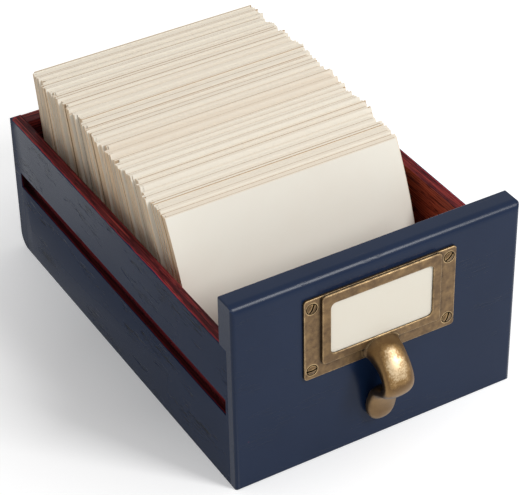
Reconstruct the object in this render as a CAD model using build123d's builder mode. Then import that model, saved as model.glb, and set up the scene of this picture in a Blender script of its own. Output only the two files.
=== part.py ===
from build123d import *
import math
import os

os.makedirs("parts", exist_ok=True)

# Index card drawer, mm. +Z up, +Y towards the back, -Y the labelled front, X across.
# Origin: bottom centre of the whole drawer, finger pull included.

# --- box ---
drawer_width = 184.0
drawer_depth = 274.0          # outer face of the front to outer face of the back
front_height = 126.0
front_thickness = 14.5
side_height = 94.4
side_thickness = 7.4
back_thickness = 10.0
floor_top = 23.0              # cards stand at this height
floor_thickness = 5.0
floor_groove_depth = 3.4      # the floor panel's tongue in every board
joint_gap = 0.1               # glue line all round a housed board or panel

front_lip = 6.5               # part of the front that covers the ends of the sides
back_housing = 2.4            # how far the back is let into each side
front_top_round = 5.5
front_edge_round = 2.6
arris_round = 1.0
heel_round = 9.0              # lower back corner, eased so the drawer starts in its bay

runner_groove_low = 48.0
runner_groove_height = 11.0
runner_groove_depth = 3.8
runner_groove_front = 9.2     # from the front face
runner_groove_back = 8.9      # short of the back face

# --- brass label holder and pull ---
plate_width = 97.5
plate_height = 54.0
plate_low = 60.4
plate_thickness = 1.6
plate_corner = 2.0
holder_rise = 3.5             # face of the raised frame off the wood
holder_width = 76.7
holder_low = 68.5
holder_corner = 2.4
window_width = 65.6
window_low = 74.0
window_height = 34.0
window_corner = 3.0
window_bevel_width = 0.7
holder_edge_round = 0.7
slot_width = 71.0
slot_low = 71.2
slot_overrun = 2.0            # the cutter runs out past the open top of the slot
slot_gap = 0.9                # room for the label between plate and frame

pull_reach = 25.0             # foremost point of the pull off the wood
pull_shoulder = 0.5           # share of the bar's thickness where its face starts to crown
pull_back_taper = 0.5
# Cross sections of the pull from its root to its tail: back and face points as (out, up)
# from the foot of the front board, then half the width.
pull_sections = [
    ((0.4, 61.0), (0.4, 73.2), 13.2),
    ((4.0, 60.2), (5.6, 73.3), 11.2),
    ((8.4, 58.5), (12.6, 71.2), 9.9),
    ((12.4, 56.2), (18.8, 66.2), 9.5),
    ((15.5, 53.7), (23.0, 60.0), 9.5),
    ((17.2, 51.2), (pull_reach, 53.0), 9.5),
    ((17.2, 48.8), (23.7, 46.2), 9.5),
    ((15.6, 47.1), (20.0, 41.4), 9.5),
    ((12.4, 46.0), (15.2, 38.8), 9.5),
    ((8.8, 44.3), (11.9, 36.7), 9.5),
    ((5.8, 41.3), (10.3, 34.2), 9.5),
    ((3.4, 37.0), (9.3, 31.4), 9.5),
    ((1.4, 31.4), (8.4, 28.2), 9.5),
    ((0.3, 26.0), (7.7, 24.6), 9.4),
    ((0.2, 21.4), (7.2, 20.8), 8.6),
    ((0.4, 18.2), (6.4, 17.7), 7.0),
    ((1.0, 16.0), (5.2, 15.8), 4.6),
    ((2.0, 14.95), (4.0, 14.85), 2.0),
]

screw_spacing_x = 88.0
screw_spacing_z = 41.8
screw_centre_z = 87.4
screw_head_radius = 2.95
screw_dome = 0.45             # crown of the head above its seat
screw_crown_radius = 1.8
screw_shank_radius = 1.4
screw_length = 12.5
screw_slot_width = 0.8
screw_slot_depth = 0.75
screw_clearance = 0.05
screw_hole_depth = 12.9
screw_slot_overrun = 0.5      # past the rim of the head at each end

label_width = 69.6
label_height = 41.6
label_thickness = 0.5
label_seat = 0.3              # foot of the label above the foot of its slot

# --- panel pins set below the paint ---
pin_radius = 0.8
pin_length = 16.0
pin_cover = 0.9               # filler over a set head
pin_clearance = 0.05
pin_margin = 10.0             # of each pin from an edge or from the runner groove
pin_hole_overrun = 0.5

# --- cards ---
card_width = 152.4
card_height = 101.6
packet_count = 13
packet_air = 0.4              # air between one packet and the next
pile_front_foot = 63.4        # foot of the front card, from the front face
pile_front_lean = 19.2        # degrees off upright, of each card's chord
pile_back_lean = 7.8
pile_back_air = 0.3           # the last card, which leans on the back board, to its arris
pile_front_bow = 4.0          # how far a leaning card bellies forward
pile_back_bow = 2.0
packet_sway = [-1.4, -1.1, 0.6, 0.9, -0.3, 0.5, -0.8, 0.2, 1.0, -0.4, 0.7, -0.9, 0.3]

# --- places worked out from the sizes ---
front_y = pull_reach - (drawer_depth + pull_reach) / 2
back_y = front_y + drawer_depth
floor_low = floor_top - floor_thickness
inner_width = drawer_width - 2 * side_thickness
inner_front_y = front_y + front_thickness
inner_back_y = back_y - back_thickness
side_front_y = front_y + front_lip
plate_face_y = front_y - plate_thickness
holder_back_y = plate_face_y - slot_gap
holder_face_y = front_y - holder_rise
plate_top = plate_low + plate_height
screw_places = [
    (side * screw_spacing_x / 2, screw_centre_z + level * screw_spacing_z / 2)
    for level in (1, -1) for side in (-1, 1)
]
screw_turns = [62, 41, 3, 67]  # slot angles, left to right, top row first
runner_groove_top = runner_groove_low + runner_groove_height
pin_levels = [
    pin_margin, runner_groove_low - pin_margin,
    runner_groove_top + pin_margin, side_height - pin_margin,
]
pin_hole_radius = pin_radius + pin_clearance
pin_hole_depth = pin_length + pin_hole_overrun
front_pin_y = (side_front_y + inner_front_y) / 2
back_pin_y = (inner_back_y + back_y) / 2
back_lean = math.radians(pile_back_lean)
back_rest = (side_height - floor_top) / (card_height * math.cos(back_lean))  # share of its height
back_belly = 4 * pile_back_bow * back_rest * (1 - back_rest)
pile_back_foot = (
    drawer_depth - back_thickness - pile_back_air
    - card_height * back_rest * math.sin(back_lean) + back_belly * math.cos(back_lean)
)


def at_y(y):
    """Upright plane that faces the front, at depth y."""
    return Plane.XZ.offset(-y)


def pin_places(y):
    """Planes at the heads of the panel pins at depth y, each looking inwards."""
    return [
        Plane(origin=(side * (drawer_width / 2 - pin_cover), y, level), z_dir=(-side, 0, 0))
        for side in (-1, 1) for level in pin_levels
    ]


# Front board: rabbeted behind at both ends for the sides, grooved for the floor.
with BuildPart() as front_board:
    with BuildSketch(at_y(inner_front_y)) as front_blank:
        with Locations((0, front_height / 2)):
            Rectangle(drawer_width, front_height)
    extrude(amount=front_thickness)
    front_face = front_board.faces().sort_by(Axis.Y)[0]
    fillet(front_face.edges().sort_by(Axis.Z)[-1], radius=front_top_round)
    fillet(
        front_board.edges().filter_by(Axis.Z).group_by(Axis.Y)[0],
        radius=front_edge_round,
    )
    fillet(
        front_board.edges().filter_by(Axis.X).group_by(Axis.Z)[-1].sort_by(Axis.Y)[-1],
        radius=arris_round,
    )
    fillet(
        front_board.edges().filter_by(Axis.X).group_by(Axis.Z)[0].sort_by(Axis.Y)[0],
        radius=arris_round,
    )
    with BuildSketch(Plane.XY) as front_rabbets:
        for side in (-1, 1):
            with Locations((
                side * (drawer_width - side_thickness) / 2,
                (side_front_y + inner_front_y) / 2,
            )):
                Rectangle(side_thickness, inner_front_y - side_front_y)
    extrude(amount=side_height + joint_gap, mode=Mode.SUBTRACT)
    with BuildSketch(at_y(inner_front_y)) as front_floor_groove:
        with Locations((0, (floor_low + floor_top) / 2)):
            Rectangle(inner_width, floor_thickness + 2 * joint_gap)
    extrude(amount=floor_groove_depth + joint_gap, mode=Mode.SUBTRACT)
    with BuildSketch(at_y(front_y + screw_hole_depth)) as front_screw_holes:
        with Locations(*screw_places):
            Circle(screw_shank_radius + screw_clearance)
    extrude(amount=screw_hole_depth, mode=Mode.SUBTRACT)
    with Locations(*pin_places(front_pin_y)):
        Cylinder(
            pin_hole_radius, pin_hole_depth,
            align=(Align.CENTER, Align.CENTER, Align.MIN), mode=Mode.SUBTRACT)
front_board.part.label = "front_board"
export_step(front_board.part, "parts/front_board.step")

# Sides: a stopped runner groove outside, the floor groove and the back's housing inside.
for side, side_name in ((-1, "left_side"), (1, "right_side")):
    outer_x = side * drawer_width / 2
    inner_x = side * inner_width / 2
    with BuildPart() as side_board:
        with BuildSketch(Plane.YZ.offset(min(outer_x, inner_x))) as side_blank:
            with Locations(((side_front_y + back_y) / 2, side_height / 2)):
                Rectangle(back_y - side_front_y - joint_gap, side_height)
        extrude(amount=side_thickness)
        fillet(
            side_board.edges().filter_by(Axis.X).group_by(Axis.Y)[-1].sort_by(Axis.Z)[0],
            radius=heel_round,
        )
        fillet(
            side_board.edges().filter_by(Axis.X).group_by(Axis.Y)[-1].sort_by(Axis.Z)[-1],
            radius=arris_round,
        )
        with BuildSketch(Plane.XY.offset(runner_groove_low)) as runner_groove:
            with Locations((
                outer_x - side * runner_groove_depth / 2,
                (front_y + runner_groove_front + back_y - runner_groove_back) / 2,
            )):
                Rectangle(
                    runner_groove_depth,
                    drawer_depth - runner_groove_front - runner_groove_back,
                )
        extrude(amount=runner_groove_height, mode=Mode.SUBTRACT)
        with BuildSketch(Plane.XY.offset(floor_low - joint_gap)) as side_floor_groove:
            with Locations((
                inner_x + side * (floor_groove_depth + joint_gap) / 2,
                (inner_front_y + inner_back_y) / 2,
            )):
                Rectangle(
                    floor_groove_depth + joint_gap,
                    inner_back_y - inner_front_y + 2 * floor_groove_depth + 2 * joint_gap,
                )
        extrude(amount=floor_thickness + 2 * joint_gap, mode=Mode.SUBTRACT)
        with BuildSketch(Plane.XY) as back_housing_cut:
            with Locations((
                inner_x + side * back_housing / 2,
                inner_back_y + back_thickness / 2,
            )):
                Rectangle(back_housing, back_thickness)
        extrude(amount=side_height, mode=Mode.SUBTRACT)
        with Locations(*pin_places(front_pin_y), *pin_places(back_pin_y)):
            Cylinder(
                pin_hole_radius, pin_hole_depth,
                align=(Align.CENTER, Align.CENTER, Align.MIN), mode=Mode.SUBTRACT)
    side_board.part.label = side_name
    export_step(side_board.part, "parts/" + side_name + ".step")

# Back board, let into the sides, with the same eased heel.
with BuildPart() as back_board:
    with BuildSketch(at_y(back_y)) as back_blank:
        with Locations((0, side_height / 2)):
            Rectangle(inner_width + 2 * (back_housing - joint_gap), side_height)
    extrude(amount=back_thickness - joint_gap)
    fillet(
        back_board.edges().filter_by(Axis.X).group_by(Axis.Y)[-1].sort_by(Axis.Z)[0],
        radius=heel_round,
    )
    fillet(
        back_board.edges().filter_by(Axis.X).group_by(Axis.Y)[-1].sort_by(Axis.Z)[-1],
        radius=arris_round,
    )
    with BuildSketch(at_y(inner_back_y + floor_groove_depth + joint_gap)) as back_floor_groove:
        with Locations((0, (floor_low + floor_top) / 2)):
            Rectangle(drawer_width, floor_thickness + 2 * joint_gap)
    extrude(amount=floor_groove_depth + joint_gap, mode=Mode.SUBTRACT)
    with Locations(*pin_places(back_pin_y)):
        Cylinder(
            pin_hole_radius, pin_hole_depth,
            align=(Align.CENTER, Align.CENTER, Align.MIN), mode=Mode.SUBTRACT)
back_board.part.label = "back_board"
export_step(back_board.part, "parts/back_board.step")

# Floor panel, held in the grooves of all four boards.
with BuildPart() as bottom_panel:
    with BuildSketch(Plane.XY.offset(floor_low)) as panel_outline:
        with Locations((0, (inner_front_y + inner_back_y) / 2)):
            Rectangle(
                inner_width + 2 * floor_groove_depth,
                inner_back_y - inner_front_y + 2 * floor_groove_depth,
            )
    extrude(amount=floor_thickness)
bottom_panel.part.label = "bottom_panel"
export_step(bottom_panel.part, "parts/bottom_panel.step")

# Panel pins through the sides into the front and into the back.
for pin_name, pin_y in (("front_pins", front_pin_y), ("back_pins", back_pin_y)):
    with BuildPart() as pins:
        with Locations(*pin_places(pin_y)):
            Cylinder(pin_radius, pin_length, align=(Align.CENTER, Align.CENTER, Align.MIN))
    pins.part.label = pin_name
    export_step(pins.part, "parts/" + pin_name + ".step")

# Brass casting: flat plate with ears, raised frame, and the finger pull that leaves the
# frame's lower bar, arches out, folds back under and ends in a tail against the wood.
with BuildPart() as label_holder:
    with BuildSketch(at_y(plate_face_y)) as frame_outline:
        with Locations((0, (holder_low + plate_top) / 2)):
            RectangleRounded(holder_width, plate_top - holder_low, holder_corner)
    extrude(amount=holder_rise - plate_thickness)
    fillet(label_holder.faces().sort_by(Axis.Y)[0].edges(), radius=holder_edge_round)
    with BuildSketch(at_y(front_y)) as plate_outline:
        with Locations((0, plate_low + plate_height / 2)):
            RectangleRounded(plate_width, plate_height, plate_corner)
    extrude(amount=plate_thickness)
    for back_point, face_point, half_width in pull_sections:
        back_at = Vector(0, front_y - back_point[0], back_point[1])
        across = Vector(0, front_y - face_point[0], face_point[1]) - back_at
        shoulder = across.length * pull_shoulder
        section_plane = Plane(
            origin=back_at, x_dir=(1, 0, 0), z_dir=Vector(1, 0, 0).cross(across))
        with BuildSketch(section_plane) as pull_section:
            with BuildLine() as pull_outline:
                Polyline(
                    (-half_width, shoulder),
                    (pull_back_taper - half_width, 0),
                    (half_width - pull_back_taper, 0),
                    (half_width, shoulder),
                )
                ThreePointArc(
                    (half_width, shoulder), (0, across.length), (-half_width, shoulder))
            make_face()
    loft()
    with BuildSketch(at_y(plate_face_y)) as label_slot:
        with Locations((0, (slot_low + plate_top + slot_overrun) / 2)):
            Rectangle(slot_width, plate_top + slot_overrun - slot_low)
    extrude(amount=slot_gap, mode=Mode.SUBTRACT)
    with BuildSketch(at_y(plate_face_y)) as window:
        with Locations((0, window_low + window_height / 2)):
            RectangleRounded(window_width, window_height, window_corner)
    extrude(amount=holder_rise, mode=Mode.SUBTRACT)
    with BuildSketch(at_y(holder_face_y)) as window_bevel:
        with Locations((0, window_low + window_height / 2)):
            RectangleRounded(
                window_width + 2 * window_bevel_width,
                window_height + 2 * window_bevel_width,
                window_corner + window_bevel_width,
            )
    extrude(amount=-window_bevel_width, taper=45, mode=Mode.SUBTRACT)
    for place in screw_places:
        with Locations(at_y(plate_face_y)):
            with Locations(place):
                CounterSinkHole(
                    radius=screw_shank_radius + 2 * screw_clearance,
                    counter_sink_radius=screw_head_radius + screw_clearance,
                    counter_sink_angle=90,
                )
label_holder.part.label = "label_holder"
export_step(label_holder.part, "parts/label_holder.step")

# Blank paper label, dropped into its slot from above.
with BuildPart() as label_card:
    with BuildSketch(at_y(plate_face_y - (slot_gap - label_thickness) / 2)) as label_outline:
        with Locations((0, slot_low + label_seat + label_height / 2)):
            Rectangle(label_width, label_height)
    extrude(amount=label_thickness)
label_card.part.label = "label_card"
export_step(label_card.part, "parts/label_card.step")

# Four slotted screws with raised heads, each left at the angle where it came tight.
with BuildPart() as holder_screws:
    for (screw_x, screw_z), turn in zip(screw_places, screw_turns):
        seat = Plane(origin=(screw_x, plate_face_y, screw_z), x_dir=(1, 0, 0), z_dir=(0, -1, 0))
        with BuildSketch(Plane(
            origin=seat.origin, x_dir=(1, 0, 0), z_dir=(0, 0, 1),
        )) as screw_half:
            with BuildLine() as screw_outline:
                Polyline(
                    (0, -screw_dome),
                    (screw_crown_radius, -screw_dome),
                    (screw_head_radius, 0),
                    (screw_shank_radius, screw_head_radius - screw_shank_radius),
                    (screw_shank_radius, screw_length - 2 * screw_shank_radius),
                    (0, screw_length),
                    (0, -screw_dome),
                )
            make_face()
        revolve(axis=Axis(seat.origin, (0, 1, 0)))
        with BuildSketch(seat.offset(screw_dome).rotated((0, 0, turn))) as screw_slot:
            Rectangle(2 * (screw_head_radius + screw_slot_overrun), screw_slot_width)
        extrude(amount=-screw_slot_depth, mode=Mode.SUBTRACT)
holder_screws.part.label = "holder_screws"
export_step(holder_screws.part, "parts/holder_screws.step")


def card_line(share):
    """Foot, belly and head of a card that stands share of the way from front to back."""
    lean = math.radians(pile_front_lean + (pile_back_lean - pile_front_lean) * share)
    bow = pile_front_bow + (pile_back_bow - pile_front_bow) * share
    foot = Vector(front_y + pile_front_foot + (pile_back_foot - pile_front_foot) * share, floor_top)
    head = foot + Vector(math.sin(lean), math.cos(lean)) * card_height
    belly = (foot + head) / 2 + Vector(-math.cos(lean), math.sin(lean)) * bow
    return foot, belly, head


# The cards, in packets that lean back in a fan; each packet is many cards thick.
air_share = packet_air / (pile_back_foot - pile_front_foot)
for packet in range(packet_count):
    near_foot, near_belly, near_head = card_line(packet / packet_count)
    far_foot, far_belly, far_head = card_line((packet + 1) / packet_count - air_share)
    packet_name = "front_packet" if packet == 0 else f"card_packet_{packet:02d}"
    with BuildPart() as card_packet:
        with BuildSketch(Plane.YZ.offset(packet_sway[packet] - card_width / 2)) as packet_side:
            with BuildLine() as packet_outline:
                ThreePointArc(near_foot, near_belly, near_head)
                Line(near_head, far_head)
                ThreePointArc(far_head, far_belly, far_foot)
                Line(far_foot, near_foot)
            make_face()
        extrude(amount=card_width)
    card_packet.part.label = packet_name
    export_step(card_packet.part, "parts/" + packet_name + ".step")
    print(packet_name, [round(value, 2) for value in (near_foot.X, near_head.X, far_head.Y)])
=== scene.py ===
import math
import random

import bmesh
import bpy
from mathutils import Matrix, Vector


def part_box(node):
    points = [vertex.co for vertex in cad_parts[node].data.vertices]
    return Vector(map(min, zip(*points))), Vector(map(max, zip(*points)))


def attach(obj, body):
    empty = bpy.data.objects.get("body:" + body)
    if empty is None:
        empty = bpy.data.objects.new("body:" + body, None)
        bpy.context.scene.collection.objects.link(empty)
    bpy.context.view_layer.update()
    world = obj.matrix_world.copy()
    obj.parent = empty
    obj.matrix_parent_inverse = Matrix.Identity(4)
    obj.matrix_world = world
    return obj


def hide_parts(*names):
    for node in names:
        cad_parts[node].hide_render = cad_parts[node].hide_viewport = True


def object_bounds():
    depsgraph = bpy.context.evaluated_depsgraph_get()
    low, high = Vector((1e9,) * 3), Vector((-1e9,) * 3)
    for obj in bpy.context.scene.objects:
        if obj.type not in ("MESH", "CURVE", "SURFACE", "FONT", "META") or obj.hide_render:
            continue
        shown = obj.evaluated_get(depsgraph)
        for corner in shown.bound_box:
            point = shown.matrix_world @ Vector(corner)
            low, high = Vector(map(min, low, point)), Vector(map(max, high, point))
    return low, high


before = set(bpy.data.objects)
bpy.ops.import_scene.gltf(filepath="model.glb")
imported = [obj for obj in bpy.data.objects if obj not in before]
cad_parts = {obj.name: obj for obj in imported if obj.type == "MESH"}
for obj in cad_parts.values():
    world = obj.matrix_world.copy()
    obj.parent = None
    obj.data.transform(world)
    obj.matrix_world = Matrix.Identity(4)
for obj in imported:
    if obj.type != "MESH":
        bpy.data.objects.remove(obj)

mm = 0.001
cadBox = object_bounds()
print("frame loaded:", len(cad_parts), "nodes")


# sRGB hex to the linear values that the shaders use
def linearColour(hexText):
    channels = [int(hexText[i:i + 2], 16) / 255 for i in (1, 3, 5)]
    return tuple(
        c / 12.92 if c <= 0.04045 else ((c + 0.055) / 1.055) ** 2.4 for c in channels) + (1.0,)


# adds a node with its settings; an input may be a value, a socket or another node
def addNode(tree, kind, inputs=None, stops=None, **settings):
    node = tree.nodes.new("ShaderNode" + kind)
    for name, value in settings.items():
        setattr(node, name, value)
    for key, value in (inputs or {}).items():
        if isinstance(value, bpy.types.Node):
            value = value.outputs[0]
        if isinstance(value, bpy.types.NodeSocket):
            tree.links.new(value, node.inputs[key])
        else:
            node.inputs[key].default_value = value
    for index, (place, colour) in enumerate(stops or []):
        points = node.color_ramp.elements
        point = points[index] if index < 2 else points.new(place)
        point.position = place
        point.color = linearColour(colour) if isinstance(colour, str) else (colour,) * 3 + (1,)
    return node


def newMaterial(name):
    material = bpy.data.materials.new(name)
    material.use_nodes = True
    material.node_tree.nodes.clear()
    return material, material.node_tree


def finishMaterial(material, tree, shader):
    addNode(tree, "OutputMaterial", {"Surface": shader})
    return material


# The boards and their finish

wood = {
    "paint": "#12213a", "paintLight": "#182741", "paintDeep": "#0e192d",
    "sheen": 0.17, "openSheen": 0.04,      # specular level of filled and of open grain
    "pore": "#070a13", "poreShade": 0.7,
    "stainDark": "#220a0e", "stainMid": "#501b1f", "stainLight": "#963a34",
    "litInsideDark": "#5a1c13", "litInsideLight": "#b34f36",   # painted light: a brighter copy of the stain on the sides' lit inside faces
    "grooveShadeAndSoot": "#0c080b",           # painted shade deep in the runner groove, along its floor and at its stopped end, with the runners' dirt
    "edgeHighlight": "#a82f38",       # painted highlight: bright red just inside the paint border, where the arris and the groove's lip catch light
    # mm from here on; the pores are drawn wide enough to show
    "poreWidth": 1.2, "poreLength": 11.0, "poreDepth": 0.4,
    "patchWidth": 12.0, "patchLength": 40.0, "cloud": 45.5,
    "grainWidth": 0.9, "grainLength": 70.0, "panelGrainWidth": 1.6,
    "brushWidth": 0.35, "brushDepth": 0.002,
    # paint over an arris, width of the painted highlight by it, how far its border wanders and over
    # what length
    "paintWrap": 0.6, "highlightWidth": 0.8, "borderSwing": 0.35, "borderLength": 9.0,
}


# Open-grained hardwood, brushed dark red stain inside and on the edges, sprayed with a satin
# navy enamel outside: a soft sheen, fine lengthwise pores, a hand-wiped border at the arris.
# It also carries painted light: a brighter stain on the lit inside faces of the sides, a painted
# highlight beside the paint border, and painted shade with dirt deep in the runner groove.
# "grain" holds mm along and across the board, "underPaint" the mm below the painted face.
def paintedBoardWood(name, spec, sheen):
    material, tree = newMaterial(name)
    grain = addNode(tree, "Attribute", attribute_name="grain").outputs["Vector"]
    under, openness, grooveShadeAndSoil, thin, lipHighlight = (
        addNode(tree, "Attribute", attribute_name=mark).outputs["Fac"]
        for mark in ("underPaint", "openness", "grooveShadeAndSoil", "thin", "lipHighlight"))

    poreSpace = addNode(tree, "Mapping", {
        "Vector": grain,
        "Scale": (1 / spec["poreLength"], 1 / spec["poreWidth"], 1 / spec["poreWidth"])})
    poreNoise = addNode(tree, "TexNoise", {
        "Vector": poreSpace, "Scale": 1.0, "Detail": 0.0, "Distortion": 1.1})
    pores = addNode(tree, "ValToRGB", {"Fac": poreNoise}, stops=[(0.61, 0.0), (0.67, 1.0)])
    patchSpace = addNode(tree, "Mapping", {
        "Vector": grain,
        "Scale": (1 / spec["patchLength"], 1 / spec["patchWidth"], 1 / spec["patchWidth"])})
    patchNoise = addNode(tree, "TexNoise", {"Vector": patchSpace, "Scale": 1.0, "Detail": 2.0})
    patches = addNode(tree, "ValToRGB", {"Fac": patchNoise}, stops=[(0.53, 0.0), (0.6, 1.0)])
    patchyPores = addNode(tree, "Math", {0: pores, 1: patches}, operation="MULTIPLY")
    openPores = addNode(tree, "Math", {0: patchyPores, 1: openness}, operation="MULTIPLY")

    brushSpace = addNode(tree, "Mapping", {
        "Vector": grain,
        "Scale": (1 / spec["grainLength"], 1 / spec["brushWidth"], 1 / spec["brushWidth"])})
    brushNoise = addNode(tree, "TexNoise", {"Vector": brushSpace, "Scale": 1.0, "Detail": 3.0})
    cloudNoise = addNode(tree, "TexNoise", {
        "Vector": grain, "Scale": 1 / spec["cloud"], "Detail": 3.0})
    paintTone = addNode(tree, "MixRGB", {
        "Fac": addNode(tree, "ValToRGB", {"Fac": cloudNoise}, stops=[(0.35, 0.0), (0.7, 0.55)]),
        "Color1": linearColour(spec["paint"]), "Color2": linearColour(spec["paintLight"])})
    paintBrushed = addNode(tree, "MixRGB", {
        "Fac": addNode(tree, "ValToRGB", {"Fac": brushNoise}, stops=[(0.5, 0.0), (0.8, 0.1)]),
        "Color1": paintTone, "Color2": linearColour(spec["paintDeep"])})
    paint = addNode(tree, "MixRGB", {
        "Fac": addNode(tree, "Math", {0: openPores, 1: spec["poreShade"]}, operation="MULTIPLY"),
        "Color1": paintBrushed, "Color2": linearColour(spec["pore"])})

    streakSpace = addNode(tree, "Mapping", {
        "Vector": grain,
        "Scale": (1 / spec["grainLength"], 1 / spec["grainWidth"], 1 / spec["grainWidth"])})
    streakNoise = addNode(tree, "TexNoise", {
        "Vector": streakSpace, "Scale": 1.0, "Detail": 4.0, "Roughness": 0.65,
        "Distortion": 0.4})
    stain = addNode(tree, "ValToRGB", {"Fac": streakNoise}, stops=[
        (0.34, spec["stainDark"]), (0.5, spec["stainMid"]), (0.66, spec["stainLight"])])
    # painted light: a brighter copy of the stain, for the inside faces of the sides that the light
    # reaches
    inside = addNode(tree, "ValToRGB", {"Fac": streakNoise}, stops=[
        (0.36, spec["litInsideDark"]), (0.64, spec["litInsideLight"])])
    stainAndLitInside = addNode(tree, "MixRGB", {"Fac": thin, "Color1": stain, "Color2": inside})
    stainPored = addNode(tree, "MixRGB", {
        "Fac": addNode(tree, "Math", {0: pores, 1: 0.6}, operation="MULTIPLY"),
        "Color1": stainAndLitInside, "Color2": linearColour(spec["stainDark"])})

    borderNoise = addNode(tree, "TexNoise", {
        "Vector": grain, "Scale": 1 / spec["borderLength"], "Detail": 3.0})
    wander = addNode(tree, "MapRange", {
        "Value": borderNoise, "From Min": 0.3, "From Max": 0.7, "To Min": -spec["borderSwing"],
        "To Max": spec["borderSwing"]}, clamp=False)
    depth = addNode(tree, "Math", {0: under, 1: wander}, operation="ADD")
    # painted highlight: a band just inside the paint border, and along the groove's upper lip
    paintBorder = spec["paintWrap"]
    highlightInner = paintBorder + spec["highlightWidth"]
    edgeHighlight = addNode(tree, "MapRange", {
        "Value": depth, "From Min": highlightInner, "From Max": paintBorder, "To Min": 0.0,
        "To Max": 0.85})
    edged = addNode(tree, "MixRGB", {
        "Fac": addNode(tree, "Math", {0: edgeHighlight, 1: lipHighlight}, operation="MAXIMUM"),
        "Color1": stainPored, "Color2": linearColour(spec["edgeHighlight"])})
    unpainted = addNode(tree, "MapRange", {
        "Value": depth, "From Min": paintBorder - 0.12, "From Max": paintBorder + 0.12})
    clean = addNode(tree, "MixRGB", {"Fac": unpainted, "Color1": paint, "Color2": edged})
    # painted shade with the runners' dirt: deep in the groove, along its floor and at its stopped end
    grooveShadeAndSoot = addNode(tree, "Math", {
        0: addNode(tree, "Math", {0: grooveShadeAndSoil, 1: unpainted}, operation="MULTIPLY"),
        1: addNode(tree, "MapRange", {
            "Value": streakNoise, "From Min": 0.35, "From Max": 0.6, "To Min": 0.55,
            "To Max": 1.0})}, operation="MULTIPLY")
    colour = addNode(tree, "MixRGB", {
        "Fac": grooveShadeAndSoot, "Color1": clean, "Color2": linearColour(spec["grooveShadeAndSoot"])})

    roughness = addNode(tree, "MapRange", {
        "Value": brushNoise, "From Min": 0.3, "From Max": 0.7, "To Min": 0.23, "To Max": 0.27})
    poreHeight = addNode(tree, "Math", {0: openPores, 1: -spec["poreDepth"]}, operation="MULTIPLY")
    grainHeight = addNode(tree, "Math", {0: brushNoise, 1: spec["brushDepth"]}, operation="MULTIPLY")
    height = addNode(tree, "Math", {0: poreHeight, 1: grainHeight}, operation="ADD")
    bump = addNode(tree, "Bump", {"Strength": 0.8, "Distance": mm, "Height": height})
    shader = addNode(tree, "BsdfPrincipled", {
        "Base Color": colour, "Roughness": roughness, "IOR": 1.5,
        "Specular IOR Level": sheen, "Normal": bump})
    return finishMaterial(material, tree, shader)


filledWood = paintedBoardWood("satin_navy_enamel_on_filled_oak", wood, wood["sheen"])
openWood = paintedBoardWood("satin_navy_enamel_on_open_oak", wood, wood["openSheen"])


def sceneObject(name, data):
    thing = bpy.data.objects.new(name, data)
    bpy.context.scene.collection.objects.link(thing)
    return thing


# ends a bmesh and makes it an object
def builtObject(name, build):
    mesh = bpy.data.meshes.new(name)
    build.to_mesh(mesh)
    build.free()
    return sceneObject(name, mesh)


def closedObject(name, build):
    bmesh.ops.recalc_face_normals(build, faces=build.faces)
    return builtObject(name, build)


# a ring of vertices from points in mm
def vertexRing(build, points):
    return [build.verts.new(Vector(point) * mm) for point in points]


# faces between two rings; one of them may be a single point
def wallBetween(build, ring, after):
    steps = max(len(ring), len(after))
    for i in range(steps):
        j = (i + 1) % steps
        corners = [ring[i % len(ring)], ring[j % len(ring)], after[j % len(after)],
                   after[i % len(after)]]
        build.faces.new(list(dict.fromkeys(corners)))


# a flat piece between two equal outlines of vertices
def slabObject(name, build, low, high):
    build.faces.new(low)
    build.faces.new(reversed(high))
    for i in range(len(low)):
        j = (i + 1) % len(low)
        build.faces.new((low[i], high[i], high[j], low[j]))
    return closedObject(name, build)


# a block between two corners in mm
def blockObject(name, low, high):
    low, high = Vector(low) * mm, Vector(high) * mm
    build = bmesh.new()
    bmesh.ops.create_cube(build, size=1.0)
    for vertex in build.verts:
        for axis in range(3):
            vertex.co[axis] = high[axis] if vertex.co[axis] > 0 else low[axis]
    return builtObject(name, build)


def setMaterial(thing, finish):
    thing.data.materials.clear()
    thing.data.materials.append(finish)


# makes the modifiers permanent
def settle(thing):
    graph = bpy.context.evaluated_depsgraph_get()
    mesh = bpy.data.meshes.new_from_object(thing.evaluated_get(graph))
    thing.modifiers.clear()
    worn = thing.data
    thing.data = mesh
    bpy.data.meshes.remove(worn)


# takes the cutters' shapes out of a thing and deletes them
def cutAway(thing, cutters):
    for cutter in cutters:
        cut = thing.modifiers.new("cut", "BOOLEAN")
        cut.operation = "DIFFERENCE"
        cut.solver = "EXACT"
        cut.object = cutter
    settle(thing)
    for cutter in cutters:
        bpy.data.objects.remove(cutter)


# rounds the edges that ease() gives a radius to, in mm, from an edge's two ends in mm
def easeEdges(thing, ease, segments):
    mesh = thing.data
    weights = mesh.attributes.new("bevel_weight_edge", "FLOAT", "EDGE")
    radii = []
    for edge in mesh.edges:
        ends = [mesh.vertices[i].co / mm for i in edge.vertices]
        radii.append(ease(*ends) or 0.0)
    widest = max(radii)
    for index, radius in enumerate(radii):
        weights.data[index].value = radius / widest
    bevel = thing.modifiers.new("ease", "BEVEL")
    bevel.limit_method = "WEIGHT"
    bevel.width = widest * mm
    bevel.segments = segments
    bevel.miter_outer = "MITER_ARC"
    settle(thing)


def smoothShade(thing, angle=40):
    mesh = thing.data
    mesh.polygons.foreach_set("use_smooth", [True] * len(mesh.polygons))
    mesh.set_sharp_from_angle(angle=math.radians(angle))
    weighted = thing.modifiers.new("normals", "WEIGHTED_NORMAL")
    weighted.keep_sharp = True
    weighted.weight = 100
    settle(thing)


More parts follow.
